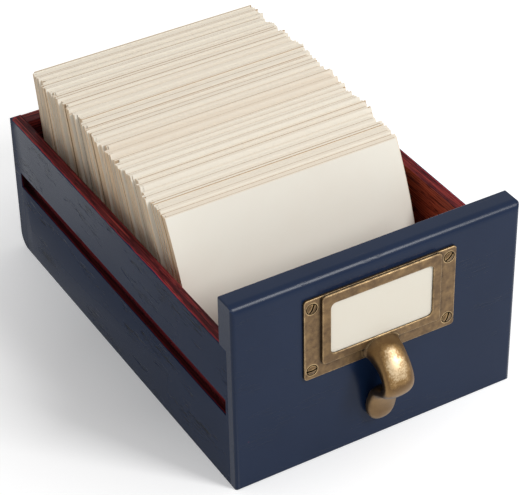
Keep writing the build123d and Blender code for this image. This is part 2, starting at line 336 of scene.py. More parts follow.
# Writes what the wood's finish reads at each point: the place along the grain and, by the rules
# in marks, the depth below the painted face in mm, how open the pores are, where the runner
# groove gets painted shade and dirt, where the inside stain is painted brighter as lit, and where
# a painted highlight runs along the groove's upper lip. The shift gives a board its own grain.
def markBoard(thing, finish, lengthAxis, shift, marks):
    mesh = thing.data
    mesh.attributes.new("grain", "FLOAT_VECTOR", "POINT")
    for name in marks:
        mesh.attributes.new(name, "FLOAT", "POINT")
    places = [vertex.co / mm for vertex in mesh.vertices]
    others = [axis for axis in range(3) if axis != lengthAxis]
    grain = mesh.attributes["grain"]
    for index, place in enumerate(places):
        grain.data[index].vector = (
            place[lengthAxis] + shift, place[others[0]] + shift, place[others[1]])
    for name, rule in marks.items():
        mesh.attributes[name].data.foreach_set("value", [rule(place) for place in places])
    setMaterial(thing, finish)


boards = {      # mm, apart from the steps and the openness
    "frontTopRound": 5.5, "frontEndRound": 2.6, "arris": 0.9,
    "sideHeight": 94.4, "sideThickness": 7.4, "frontLip": 6.5, "backThickness": 10.0,
    "sideArris": 0.7, "innerArris": 0.5, "rearRound": 1.8, "heel": 9.0, "heelSteps": 10,
    "grooveLow": 48.0, "grooveHeight": 11.0, "grooveDepth": 3.8, "grooveLip": 0.25,
    "grooveFront": 9.2, "grooveBack": 8.9, "grooveShadeReach": (34.0, 9.0), "rearBorder": (10.5, 2.2),
    "floorLow": 17.9, "floorHigh": 23.1, "floorGroove": 3.5,
    "frontOpenness": 0.12, "sideOpenness": 1.0, "backOpenness": 0.7,    # of the pores
    "past": 5.0,       # how far a cutter reaches out of the wood
}
frontLow, frontHigh = (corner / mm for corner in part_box("front_board"))
frontY, innerFrontY = frontLow.y, frontHigh.y
backY = cadBox[1].y / mm
halfWidth = frontHigh.x
sideFrontY = frontY + boards["frontLip"]
innerX = halfWidth - boards["sideThickness"]
innerBackY = backY - boards["backThickness"]
near = 0.02        # mm, the play when an edge's place is compared


def isAt(value, place):
    return abs(value - place) < near


# the taller front: large round along the top, all faces painted but the inside
def frontBoard():
    block = blockObject("front_board_painted", frontLow, frontHigh)
    past = boards["past"]
    notches = []
    for side in (-1, 1):
        inner, outer = sorted((side * innerX, side * (halfWidth + past)))
        notches.append(blockObject(
            "notch", (inner, sideFrontY, -past),
            (outer, innerFrontY + past, boards["sideHeight"])))
    notches.append(blockObject(
        "notch", (-innerX, innerFrontY - boards["floorGroove"], boards["floorLow"]),
        (innerX, innerFrontY + past, boards["floorHigh"])))
    cutAway(block, notches)

    def ease(first, last):
        middle = (first + last) / 2
        along = [axis for axis in range(3) if abs(first[axis] - last[axis]) > near]
        atFront = isAt(middle.y, frontY)
        atTop = isAt(middle.z, frontHigh.z)
        atEnd = isAt(abs(middle.x), halfWidth)
        if atFront and atTop:
            return boards["frontTopRound"]
        if atFront and atEnd:
            return boards["frontEndRound"]
        if atFront and isAt(middle.z, 0):
            return boards["arris"]
        if atTop and (atEnd or isAt(middle.y, innerFrontY)):
            return boards["arris"]
        if along == [2] and atEnd and middle.z > boards["sideHeight"]:
            return boards["sideArris"]

    easeEdges(block, ease, segments=8)
    smoothShade(block)
    markBoard(block, filledWood, 0, 0.0, {
        # the paint stops just short of the inside face
        "underPaint": lambda place: max(0.0, (place.y - innerFrontY + 0.5) * 3),
        "openness": lambda place: boards["frontOpenness"]})
    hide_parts("front_board")
    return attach(block, "drawer_box")


# a board drawn as an outline of (y, z) and cut to length along x, heel included
def heeledBoard(name, frontEnd, lowX, highX, top):
    heel, steps = boards["heel"], boards["heelSteps"]
    outline = [(frontEnd, 0.0)]
    for step in range(steps + 1):
        turn = math.radians(90 * step / steps)
        outline.append((
            backY - heel + heel * math.sin(turn), heel - heel * math.cos(turn)))
    outline += [(backY, top), (frontEnd, top)]
    build = bmesh.new()
    ends = [vertexRing(build, [(x, y, z) for y, z in outline]) for x in (lowX, highX)]
    return slabObject(name, build, *ends)


# splits the faces at these places along y, in mm
def sliceAcross(thing, places):
    build = bmesh.new()
    build.from_mesh(thing.data)
    for y in places:
        everything = build.verts[:] + build.edges[:] + build.faces[:]
        bmesh.ops.bisect_plane(
            build, geom=everything, plane_co=(0, y * mm, 0), plane_no=(0, 1, 0))
    build.to_mesh(thing.data)
    build.free()


# mm below the painted back face and heel
def rearDepth(place):
    heel = boards["heel"]
    if place.y > backY - heel and place.z < heel:
        return heel - math.hypot(place.y - backY + heel, heel - place.z)
    return backY - place.y


# a side: stopped runner groove outside, floor groove inside
def sideBoard(side):
    name = "left_side" if side < 0 else "right_side"
    lowX, highX = sorted((side * halfWidth, side * innerX))
    board = heeledBoard(name + "_painted", sideFrontY, lowX, highX, boards["sideHeight"])
    past = boards["past"]
    grooveX = sorted((side * (halfWidth + past), side * (halfWidth - boards["grooveDepth"])))
    grooveLow, grooveTop = boards["grooveLow"], boards["grooveLow"] + boards["grooveHeight"]
    grooveStart, grooveEnd = frontY + boards["grooveFront"], backY - boards["grooveBack"]
    runner = blockObject(
        "runner", (grooveX[0], grooveStart, grooveLow), (grooveX[1], grooveEnd, grooveTop))
    floorX = sorted((side * (innerX + boards["floorGroove"]), side * (innerX - past)))
    floorCut = blockObject(
        "floorCut", (floorX[0], sideFrontY - past, boards["floorLow"]),
        (floorX[1], innerBackY, boards["floorHigh"]))
    cutAway(board, [runner, floorCut])

    def ease(first, last):
        middle = (first + last) / 2
        if isAt(abs(first.x), halfWidth) and isAt(abs(last.x), halfWidth):
            inGroove = (
                grooveLow - near < middle.z < grooveTop + near
                and grooveStart - near < middle.y < grooveEnd + near)
            if inGroove:
                return boards["grooveLip"]
            if isAt(middle.z, boards["sideHeight"]) or middle.z < boards["heel"] - near:
                return boards["sideArris"]
            if isAt(middle.y, backY):
                return boards["rearRound"]
        if isAt(abs(first.x), innerX) and isAt(abs(last.x), innerX):
            if isAt(middle.z, boards["sideHeight"]):
                return boards["innerArris"]
        if isAt(first.z, last.z) and isAt(middle.z, boards["sideHeight"]) and isAt(middle.y, backY):
            return boards["arris"]

    easeEdges(board, ease, segments=4)
    smoothShade(board)
    sliceAcross(board, [grooveEnd - reach for reach in boards["grooveShadeReach"]]
                + [backY - reach for reach in boards["rearBorder"]])

    # painted shade and dirt in the groove: whole at its stopped end, less along its floor
    def grooveShadeAndSoil(place):
        if not grooveStart - 1 < place.y < grooveEnd + 1:
            return 0.0
        if grooveLow - 1 < place.z < grooveTop + 1:
            atEnd = place.y > grooveEnd - boards["grooveShadeReach"][1] - near
            return 1.0 if atEnd else 0.75 if place.z < grooveLow + 1 else 0.0
        return 0.0

    # painted highlight along the groove's upper lip, short of its shaded rear end
    def lipHighlight(place):
        inGroove = grooveStart - 1 < place.y < grooveEnd - boards["grooveShadeReach"][0] + 1
        return 0.7 if inGroove and grooveTop - 1 < place.z < grooveTop + 1 else 0.0

    markBoard(board, openWood, 1, 37.0 * side, {
        "underPaint": lambda place: min(halfWidth - abs(place.x), rearDepth(place)),
        "openness": lambda place: boards["sideOpenness"], "grooveShadeAndSoil": grooveShadeAndSoil, "lipHighlight": lipHighlight,
        # painted light: the sides' inside faces take the brighter, lit copy of the stain
        "thin": lambda place: 1.0 if abs(place.x) < innerX + near else 0.0})
    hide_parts(name)
    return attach(board, "drawer_box")


# the back, between the sides, painted only outside
def backBoard():
    board = heeledBoard("back_board_painted", innerBackY, -innerX, innerX, boards["sideHeight"])
    floorCut = blockObject(
        "floorCut", (-halfWidth, innerBackY - boards["past"], boards["floorLow"]),
        (halfWidth, innerBackY + boards["floorGroove"], boards["floorHigh"]))
    cutAway(board, [floorCut])

    def ease(first, last):
        middle = (first + last) / 2
        alongX = abs(first.x - last.x) > near
        if alongX and isAt(middle.z, boards["sideHeight"]):
            return boards["arris"] if isAt(middle.y, backY) else boards["innerArris"]

    easeEdges(board, ease, segments=4)
    smoothShade(board)
    markBoard(board, openWood, 0, 91.0, {
        "underPaint": rearDepth, "openness": lambda place: boards["backOpenness"]})
    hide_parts("back_board")
    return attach(board, "drawer_box")


frontBoard()
sideBoard(-1)
sideBoard(1)
backBoard()
print("boards made")

# The label holder, its pull and screws

brass = {
    # the recess colour is painted shade over the patina in the hollows, the bright one edge wear and
    # a painted highlight
    "body": "#836946", "dull": "#56412c", "wornEdgeAndHighlight": "#e0c190", "recessPatinaAndShade": "#0c0704",
    # the pull's painted light: shade facing away from the lamp, a dark ring, a highlight facing it
    "shaded": "#34230e", "pullLight": "#8b6c40", "ring": "#634825", "pullHighlight": "#cdb692",
    "pullLightFrom": 3.0, "pullLightBy": 9.0,          # mm out from the wood, where the pull's painted light starts and where it is whole
    "pullHighlightFacing": (-0.13, -0.78, 0.61), "speckle": 0.04, "blotch": 0.05,
    "mottle": 4.5, "castGrain": 0.9, "brightEdgeWidth": 0.7, "recessReach": 3.2,    # mm
}


# Cast brass, chemically aged and then rubbed: brown patina with painted shade in the recesses,
# warm gold on the open faces, edges worn bright by hands and painted as highlights, a pebbled
# cast skin under a film of old wax, and on the pull painted light and shade by which way it faces.
def agedBrass(name, spec):
    material, tree = newMaterial(name)
    place = addNode(tree, "TexCoord").outputs["Object"]
    mottle = addNode(tree, "TexNoise", {
        "Vector": place, "Scale": 1 / (spec["mottle"] * mm), "Detail": 5.0, "Roughness": 0.62})
    grain = addNode(tree, "TexNoise", {
        "Vector": place, "Scale": 1 / (spec["castGrain"] * mm), "Detail": 3.0})
    tone = addNode(tree, "ValToRGB", {"Fac": mottle}, stops=[
        (0.3, spec["dull"]), (0.68, spec["body"])])
    out = addNode(tree, "MapRange", {
        "Value": addNode(tree, "SeparateXYZ", {"Vector": place}).outputs["Y"],
        "From Min": (frontY - spec["pullLightFrom"]) * mm,
        "From Max": (frontY - spec["pullLightBy"]) * mm, "To Min": 0.0, "To Max": 0.9})
    facing = addNode(tree, "VectorMath", {
        0: addNode(tree, "TexCoord").outputs["Normal"], 1: spec["pullHighlightFacing"]},
        operation="DOT_PRODUCT")
    speckle = addNode(tree, "MapRange", {
        "Value": grain, "From Min": 0.3, "From Max": 0.7, "To Min": -spec["speckle"],
        "To Max": spec["speckle"]}, clamp=False)
    blotch = addNode(tree, "MapRange", {
        "Value": mottle, "From Min": 0.35, "From Max": 0.65, "To Min": -spec["blotch"],
        "To Max": spec["blotch"]}, clamp=False)
    uneven = addNode(tree, "Math", {0: speckle, 1: blotch}, operation="ADD")
    towardHighlight = addNode(tree, "Math", {0: facing.outputs["Value"], 1: uneven}, operation="ADD")
    # painted light and shade on the pull by which way it faces, with a dark ring round the painted
    # highlight
    pullLight = addNode(tree, "ValToRGB", {"Fac": towardHighlight}, stops=[
        (0.15, spec["shaded"]), (0.5, spec["pullLight"]), (0.78, spec["ring"]),
        (0.9, spec["pullLight"]), (1.0, spec["pullHighlight"])])
    tone = addNode(tree, "MixRGB", {"Fac": out, "Color1": tone, "Color2": pullLight})
    # painted shade in the recesses and beside the raised steps, over the patina that sits there
    recessed = addNode(tree, "AmbientOcclusion", {"Distance": spec["recessReach"] * mm},
                       samples=8)
    recessShadeMask = addNode(tree, "MapRange", {
        "Value": recessed.outputs["AO"], "From Min": 0.6, "From Max": 0.96, "To Min": 1.0,
        "To Max": 0.0})
    patinaAndShade = addNode(tree, "MixRGB", {
        "Fac": addNode(tree, "Math", {0: recessShadeMask, 1: 0.85}, operation="MULTIPLY"),
        "Color1": tone, "Color2": linearColour(spec["recessPatinaAndShade"])})
    # looked at from inside the metal, only a proud edge is close to another face
    proud = addNode(tree, "AmbientOcclusion", {"Distance": spec["brightEdgeWidth"] * mm},
                    samples=8, inside=True)
    edge = addNode(tree, "MapRange", {
        "Value": proud.outputs["AO"], "From Min": 0.97, "From Max": 0.7, "To Min": 0.0,
        "To Max": 1.0})
    outward = addNode(tree, "Math", {
        0: 1.0, 1: addNode(tree, "Math", {0: recessShadeMask, 1: out}, operation="MAXIMUM")},
        operation="SUBTRACT")
    edgeWornAndLit = addNode(tree, "Math", {0: edge, 1: outward}, operation="MULTIPLY")
    patchy = addNode(tree, "MapRange", {
        "Value": mottle, "From Min": 0.35, "From Max": 0.6, "To Min": 0.35, "To Max": 0.95})
    edgeWearAndHighlight = addNode(tree, "Math", {0: edgeWornAndLit, 1: patchy}, operation="MULTIPLY")
    # edges worn bright, and brightened more as a painted highlight
    colour = addNode(tree, "MixRGB", {
        "Fac": edgeWearAndHighlight, "Color1": patinaAndShade, "Color2": linearColour(spec["wornEdgeAndHighlight"])})
    roughBase = addNode(tree, "MapRange", {
        "Value": mottle, "From Min": 0.3, "From Max": 0.7, "To Min": 0.54, "To Max": 0.42})
    roughness = addNode(tree, "Math", {
        0: roughBase, 1: addNode(tree, "Math", {0: recessShadeMask, 1: 0.2}, operation="MULTIPLY")},
        operation="ADD")
    bump = addNode(tree, "Bump", {"Strength": 0.7, "Distance": 0.08 * mm, "Height": grain})
    shader = addNode(tree, "BsdfPrincipled", {
        "Base Color": colour, "Metallic": 1.0, "Roughness": roughness, "Normal": bump,
        "Coat Weight": 0.35, "Coat Roughness": 0.4})
    return finishMaterial(material, tree, shader)


castBrass = agedBrass("aged_cast_brass", brass)
# the screws kept more of their patina, so they look browner than the casting
screwBrass = agedBrass("aged_screw_brass", {
    **brass, "body": "#72593a", "dull": "#483520", "wornEdgeAndHighlight": "#a88b5f", "recessReach": 1.6})

holder = {      # mm, and degrees for how far each screw is turned
    "plateWidth": 97.5, "plateHeight": 54.0, "plateLow": 60.4, "plateThickness": 1.6,
    "plateCorner": 2.0, "plateEdge": 0.45,
    "rise": 3.5, "frameWidth": 76.7, "frameLow": 68.5, "frameCorner": 2.4, "frameEdge": 0.7,
    "windowWidth": 65.6, "windowLow": 74.0, "windowHeight": 34.0, "windowCorner": 3.0,
    "windowBevel": 0.7,
    "slotWidth": 71.0, "slotLow": 71.2, "slotGap": 0.9,
    "screwSpacingX": 88.0, "screwSpacingZ": 41.8, "screwZ": 87.4,
    "screwHead": 2.95, "screwDome": 0.6, "screwShank": 1.4, "screwGap": 0.62, "bore": 0.9,
    "driverWidth": 1.15, "driverDepth": 1.2, "screwTurns": (62, 41, 3, 67),
    "cornerSteps": 6, "edgeSteps": 4,
}
plateTop = holder["plateLow"] + holder["plateHeight"]


# points (x, z) of a rectangle with round corners, drawn in or out by shift
def roundedOutline(width, low, high, corner, shift=0.0):
    steps = holder["cornerSteps"]
    radius = max(corner + shift, 0.05)
    half = width / 2 + shift
    centres = [
        (half - radius, high + shift - radius, 0), (radius - half, high + shift - radius, 90),
        (radius - half, low - shift + radius, 180), (half - radius, low - shift + radius, 270)]
    points = []
    for x, z, start in centres:
        for step in range(steps + 1):
            turn = math.radians(start + 90 * step / steps)
            points.append((x + radius * math.cos(turn), z + radius * math.sin(turn)))
    return points


# a closed ring made of outlines at given distances out from the wood; the last joins the first
def ringObject(name, outlines):
    build = bmesh.new()
    rings = [
        vertexRing(build, [(x, frontY - out, z) for x, z in points]) for points, out in outlines]
    for ring, after in zip(rings, rings[1:] + rings[:1]):
        wallBetween(build, ring, after)
    return closedObject(name, build)


# outlines of an edge rounded from the wall at out - radius to the face at out
def roundedEdge(width, low, high, corner, out, radius):
    rows = []
    for step in range(holder["edgeSteps"] + 1):
        turn = math.radians(90 * step / holder["edgeSteps"])
        rows.append((
            roundedOutline(width, low, high, corner, radius * (math.cos(turn) - 1)),
            out - radius + radius * math.sin(turn)))
    return rows


def windowOutline(shift=0.0):
    return roundedOutline(
        holder["windowWidth"], holder["windowLow"],
        holder["windowLow"] + holder["windowHeight"], holder["windowCorner"], shift)


def screwPlaces():
    return [
        (side * holder["screwSpacingX"] / 2, holder["screwZ"] + level * holder["screwSpacingZ"] / 2)
        for level in (1, -1) for side in (-1, 1)]


# a body turned about a line that runs out from the wood, from (radius, out) pairs
def turnedObject(name, profile, x, z, steps=40):
    build = bmesh.new()
    turns = [2 * math.pi * i / steps for i in range(steps)]
    rings = [
        vertexRing(build, [
            (x + radius * math.cos(turn), frontY - out, z + radius * math.sin(turn))
            for turn in (turns if radius else turns[:1])])
        for radius, out in profile]
    for ring, after in zip(rings, rings[1:]):
        wallBetween(build, ring, after)
    return closedObject(name, build)


# the plate, with its window and a countersink for each screw
def holderPlate():
    shape = holder["plateWidth"], holder["plateLow"], plateTop, holder["plateCorner"]
    thickness = holder["plateThickness"]
    plate = ringObject("plate", [
        (roundedOutline(*shape), 0.0), *roundedEdge(*shape, thickness, holder["plateEdge"]),
        (windowOutline(), thickness), (windowOutline(), 0.0)])
    head, hole = holder["screwHead"] + holder["screwGap"], holder["screwShank"] + 0.1
    cutAway(plate, [
        turnedObject("sink", [
            (0.0, -1.0), (hole, -1.0), (hole, 0.1), (head - 0.15, thickness - holder["bore"]),
            (head, thickness - 0.1), (head + 0.15, thickness + 1.0), (0.0, thickness + 1.0)], x, z)
        for x, z in screwPlaces()])
    return plate


# the raised frame, its window edge rounded down to the label and its slot open at the top
def holderFrame():
    shape = holder["frameWidth"], holder["frameLow"], plateTop, holder["frameCorner"]
    thickness, rise, bevel = holder["plateThickness"], holder["rise"], holder["windowBevel"]
    turns = [math.radians(90 * step / holder["edgeSteps"])
             for step in range(holder["edgeSteps"] + 1)]
    raised = ringObject("raised", [
        (roundedOutline(*shape), thickness), *roundedEdge(*shape, rise, holder["frameEdge"]),
        *((windowOutline(bevel * (1 - math.sin(turn))), rise - bevel * (1 - math.cos(turn)))
          for turn in turns),
        (windowOutline(), thickness)])
    half = holder["slotWidth"] / 2
    cutAway(raised, [blockObject(
        "slot", (-half, frontY - thickness - holder["slotGap"], holder["slotLow"]),
        (half, frontY - thickness + 0.01, plateTop + boards["past"]))])
    return raised


def labelHolder():
    shells = [holderPlate(), holderFrame(), fingerPull()]
    build = bmesh.new()
    for shell in shells:
        build.from_mesh(shell.data)
        bpy.data.objects.remove(shell)
    casting = builtObject("label_holder_casting", build)
    smoothShade(casting, 32)
    setMaterial(casting, castBrass)
    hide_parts("label_holder")
    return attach(casting, "drawer_box")


pullBow = {
    # back and face of the bar as (out, up) from the foot of the front, then half its width
    "sections": [
        ((0.4, 60.2), (0.4, 73.9), 12.0),
        ((2.2, 60.4), (2.6, 73.8), 11.6),
        ((3.2, 60.4), (3.9, 73.6), 11.1),
        ((4.4, 60.1), (6.0, 73.2), 10.5),
        ((8.4, 58.5), (12.6, 71.2), 9.9),
        ((12.4, 56.2), (18.8, 66.2), 9.5),
        ((15.5, 53.7), (23.0, 60.0), 9.5),
        ((17.2, 51.2), (25.0, 53.0), 9.5),
        ((17.2, 48.8), (23.7, 46.2), 9.5),
        ((15.6, 47.1), (20.0, 41.4), 9.5),
        ((12.4, 46.0), (15.2, 38.8), 9.5),
        ((8.8, 44.3), (11.9, 36.7), 9.5),
        ((5.8, 41.3), (10.3, 34.2), 9.5),
        ((3.4, 37.0), (9.3, 31.4), 9.5),
        ((1.4, 31.4), (8.4, 28.2), 9.5),
        ((0.3, 26.0), (7.7, 24.6), 9.4),
        ((0.2, 21.4), (7.2, 20.8), 8.6),
        ((0.4, 18.2), (6.4, 17.7), 7.0),
        ((1.0, 16.0), (5.2, 15.8), 4.6),
        ((2.0, 14.95), (4.0, 14.85), 2.0),
    ],
    "between": 6, "around": 40,
    "faceCrown": 2.2, "backCrown": 4.0,      # powers of the outline, 2 is an ellipse
    "widestAt": 0.42,                        # share of the way from back to face
}


# the finger pull: leaves the frame, arches out, folds back under and ends in a round tail
def fingerPull():
    rows = [[*back, *face, half] for back, face, half in pullBow["sections"]]
    stations = []
    for i in range(len(rows) - 1):
        before, here = rows[max(i - 1, 0)], rows[i]
        after, later = rows[i + 1], rows[min(i + 2, len(rows) - 1)]
        for step in range(pullBow["between"]):
            t = step / pullBow["between"]      # along a smooth curve through the sections
            stations.append([
                0.5 * (2 * b + (c - a) * t + (2 * a - 5 * b + 4 * c - d) * t ** 2
                       + (3 * b - a - 3 * c + d) * t ** 3)
                for a, b, c, d in zip(before, here, after, later)])
    stations.append(rows[-1])
    build = bmesh.new()
    rings = []
    for backOut, backUp, faceOut, faceUp, half in stations:
        points = []
        for i in range(pullBow["around"]):
            turn = 2 * math.pi * i / pullBow["around"]
            crown = pullBow["faceCrown"] if math.sin(turn) > 0 else pullBow["backCrown"]
            x = half * math.copysign(abs(math.cos(turn)) ** (2 / crown), math.cos(turn))
            rise = math.copysign(abs(math.sin(turn)) ** (2 / crown), math.sin(turn))
            widest = pullBow["widestAt"]
            share = widest + (1 - widest if rise > 0 else widest) * rise
            out = backOut + (faceOut - backOut) * share
            up = backUp + (faceUp - backUp) * share
            points.append((x, frontY - out, up))
        rings.append(vertexRing(build, points))
    for ring, after in zip(rings, rings[1:]):
        wallBetween(build, ring, after)
    build.faces.new(reversed(rings[0]))
    build.faces.new(rings[-1])
    return closedObject("pull", build)


# domed slotted heads, each at the angle where it came tight
def holderScrews():
    head, dome, shank = holder["screwHead"], holder["screwDome"], holder["screwShank"]
    seat = holder["plateThickness"]
    for number, ((x, z), turn) in enumerate(zip(screwPlaces(), holder["screwTurns"]), 1):
        profile = [(0.0, seat + dome)]
        for step in range(1, 7):
            share = step / 6
            profile.append((head * share, seat + dome * (1 - share ** 2)))
        profile += [
            (head - 0.1, seat - holder["bore"] + 0.15), (shank, 0.0), (shank, -8.0), (0.0, -10.5)]
        screw = turnedObject(f"holder_screw_{number}", profile, x, z)
        reach, half = head + 1, holder["driverWidth"] / 2
        driver = blockObject("driver", (-reach, -1, -half), (reach, holder["driverDepth"], half))
        place = Vector((x, frontY - seat - dome, z)) * mm
        driver.data.transform(
            Matrix.Translation(place) @ Matrix.Rotation(-math.radians(turn), 4, "Y"))
        cutAway(screw, [driver])
        smoothShade(screw, 30)
        setMaterial(screw, screwBrass)
        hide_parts("holder_screws")
        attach(screw, "drawer_box")


labelHolder()
holderScrews()
print("holder, pull and screws made")

# Cards and label

paper = {
    "face": "#ece6d9", "warm": "#e9dfcf", "cool": "#f0ece0",
    "cut": "#e8b46c", "gapShade": "#5a432a",   # cut ends, browner partly as painted shade; and painted shade where ends sit back in a gap
    "fibre": 0.5, "cloud": 22.0,          # mm
}


# Uncoated cream index stock: quite matt, faintly cloudy, with browner cut edges. "tone" is a
# card's own tint; the other mark runs from 0 on its face through the cut ends, browned partly as
# painted shade, to 1 deep in a gap, which is painted shade.
def cardStock(name, spec):
    material, tree = newMaterial(name)
    place = addNode(tree, "TexCoord").outputs["Object"]
    tone = addNode(tree, "Attribute", attribute_name="tone").outputs["Fac"]
    cut = addNode(tree, "Attribute", attribute_name="cut").outputs["Fac"]
    cloud = addNode(tree, "TexNoise", {
        "Vector": place, "Scale": 1 / (spec["cloud"] * mm), "Detail": 2.0})
    fibre = addNode(tree, "TexNoise", {
        "Vector": place, "Scale": 1 / (spec["fibre"] * mm), "Detail": 3.0})
    own = addNode(tree, "ValToRGB", {"Fac": tone}, stops=[
        (0.0, spec["cool"]), (0.5, spec["face"]), (1.0, spec["warm"])])
    clouded = addNode(tree, "MixRGB", {
        "Fac": addNode(tree, "MapRange", {
            "Value": cloud, "From Min": 0.35, "From Max": 0.7, "To Min": 0.0, "To Max": 0.15}),
        "Color1": own, "Color2": linearColour(spec["warm"])})
    cutAndShadeShare = addNode(tree, "Math", {
        0: cut, 1: addNode(tree, "MapRange", {
            "Value": fibre, "From Min": 0.3, "From Max": 0.7, "To Min": 0.7, "To Max": 1.0})},
        operation="MULTIPLY")
    cutAndGapShade = addNode(tree, "ValToRGB", {"Fac": cut}, stops=[
        (0.78, spec["cut"]), (1.0, spec["gapShade"])])
    colour = addNode(tree, "MixRGB", {"Fac": cutAndShadeShare, "Color1": clouded, "Color2": cutAndGapShade})
    bump = addNode(tree, "Bump", {"Strength": 0.15, "Distance": 0.03 * mm, "Height": fibre})
    shader = addNode(tree, "BsdfPrincipled", {
        "Base Color": colour, "Roughness": 0.88, "IOR": 1.45, "Specular IOR Level": 0.25,
        "Normal": bump})
    return finishMaterial(material, tree, shader)


creamStock = cardStock("cream_index_stock", paper)

cards = {       # mm and degrees
    "width": 152.4, "height": 101.6, "thickness": 0.31, "pitch": 0.4,
    "frontFoot": 63.4, "backFoot": 255.57, "foot": 23.0,
    "frontLean": 19.2, "backLean": 7.8, "frontBow": 4.0, "backBow": 2.0,
    "packets": 13, "air": 0.4, "bends": 10,
    "sway": (-1.4, -1.1, 0.6, 0.9, -0.3, 0.5, -0.8, 0.2, 1.0, -0.4, 0.7, -0.9, 0.3),
    "midTilt": 0.7, "midShift": 1.0,     # to the right, of cards halfway back
    # share of the file that was leafed through last, and how far its heads still climb
    "frontGroup": 2 / 13, "frontHeld": 0.35,
    "headTop": 125.8, "seed": 52,
    # how many cards a run holds, of those that stand proud and those set back between them
    "proudEnds": (3, 5, 6, 8, 10), "backEnds": (2, 2, 3, 3),
    "highHeads": (4, 5, 6, 8, 10, 13), "lowHeads": (1, 1, 2),
    "bunch": (12, 26), "bunchShift": 0.7, "mostShift": 1.4, "bunchLift": (0.2, 0.8),
    # mm sideways and mm cut short, each a base and the swing that a run's own draw gives it
    "proudShift": (-0.2, 0.25), "backShift": (0.9, 1.3), "looseness": 0.05,
    "highTrim": 0.08, "lowTrim": (0.28, 0.45), "unevenTrim": 0.03,
    # how dark ends and heads are drawn: on proud and high runs, then darker as painted shade in the
    # gaps
    "proudEdge": (0.64, 0.1), "backEdge": 1.0, "highHead": (0.11, 0.04), "lowHead": (0.5, 0.15),
    "plainFace": 0.04, "gapFace": 0.92, "thinnest": 0.8,
}


# foot, middle and lean of the card that stands this share of the way back
def cardStance(share):
    lean = math.radians(cards["frontLean"] + (cards["backLean"] - cards["frontLean"]) * share)
    bow = cards["frontBow"] + (cards["backBow"] - cards["frontBow"]) * share
    foot = frontY + cards["frontFoot"] + (cards["backFoot"] - cards["frontFoot"]) * share
    return foot, lean, bow


# point (y, z) on the card at this height along it; the bow is a shallow arc
def cardPoint(stance, along):
    foot, lean, bow = stance
    rise = along / cards["height"]
    belly = bow * 4 * rise * (1 - rise)
    return (
        foot + math.sin(lean) * along - math.cos(lean) * belly,
        cards["foot"] + math.cos(lean) * along + math.sin(lean) * belly)


def held(value, low, high):
    return max(low, min(high, value))


# runs of a few cards that lie flush, proud and set back in turn, as (is proud, own draw)
def flushRuns(count, proudRuns, backRuns, draw):
    runs = []
    isProud = True
    while len(runs) < count:
        size = draw.choice(proudRuns if isProud else backRuns)
        runs += [(isProud, draw.random(), draw.gauss(0, 1))] * size
        isProud = not isProud
    return runs[:count]


# How the cards of the whole file were squared up, front to back. A bunch was knocked square
# before it was dropped in, so its heads climb towards its front card as it leans back. In it,
# thick runs of cards stand proud and thin runs between them sit back, low or sideways.
def cardHabits(count, draw):
    sideways = flushRuns(count, cards["proudEnds"], cards["backEnds"], draw)
    heads = flushRuns(count, cards["highHeads"], cards["lowHeads"], draw)
    (proudShift, proudSwing), (backShift, backSwing) = cards["proudShift"], cards["backShift"]
    (proudEdge, edgeSwing), (lowTrim, trimSwing) = cards["proudEdge"], cards["lowTrim"]
    (highHead, highSwing), (lowHead, lowSwing) = cards["highHead"], cards["lowHead"]
    habits = []
    while len(habits) < count:
        bunch = draw.randint(*cards["bunch"])
        bunchShift = held(draw.gauss(0, cards["bunchShift"]), -cards["mostShift"], cards["mostShift"])
        bunchLift, bunchTone = draw.uniform(*cards["bunchLift"]), draw.gauss(0.5, 0.12)
        for place in range(min(bunch, count - len(habits))):
            index = len(habits)
            (isOut, outDraw, outGauss), (isHigh, highDraw, highGauss) = (
                sideways[index], heads[index])
            lean = cardStance(index / count)[1]
            climb = (bunch - 1 - place) * cards["pitch"] * math.sin(lean)
            climbShare = cards["frontHeld"] if index / count < cards["frontGroup"] else 1.0
            isOverGap = isHigh and place and not heads[index - 1][0]
            habits.append({
                "shift": bunchShift + draw.gauss(0, cards["looseness"]) + (
                    proudShift + proudSwing * outGauss if isOut
                    else backShift + backSwing * outDraw),
                "lift": climbShare * (climb + bunchLift),
                "trim": abs(draw.gauss(0, cards["unevenTrim"])) + (
                    cards["highTrim"] * highDraw if isHigh else lowTrim + trimSwing * highDraw),
                "tone": held(bunchTone + 0.12 * highGauss + draw.gauss(0, 0.05), 0.0, 1.0),
                # the ends of set-back runs and the heads of low runs are painted shade
                "edge": held(draw.gauss(0, 0.07) + (
                    proudEdge + edgeSwing * outGauss if isOut else cards["backEdge"]), 0.1, 1.0),
                "head": highHead + highSwing * highDraw if isHigh
                else lowHead + lowSwing * highDraw,
                # the strip of a card that shows over a low one in front of it lies in a gap, in
                # painted shade
                "face": cards["gapFace"] if isOverGap else cards["plainFace"],
                "thin": draw.uniform(cards["thinnest"], 1.0)})
    habits[0].update(tone=0.0, face=0.0)      # the front card is the whitest
    return habits


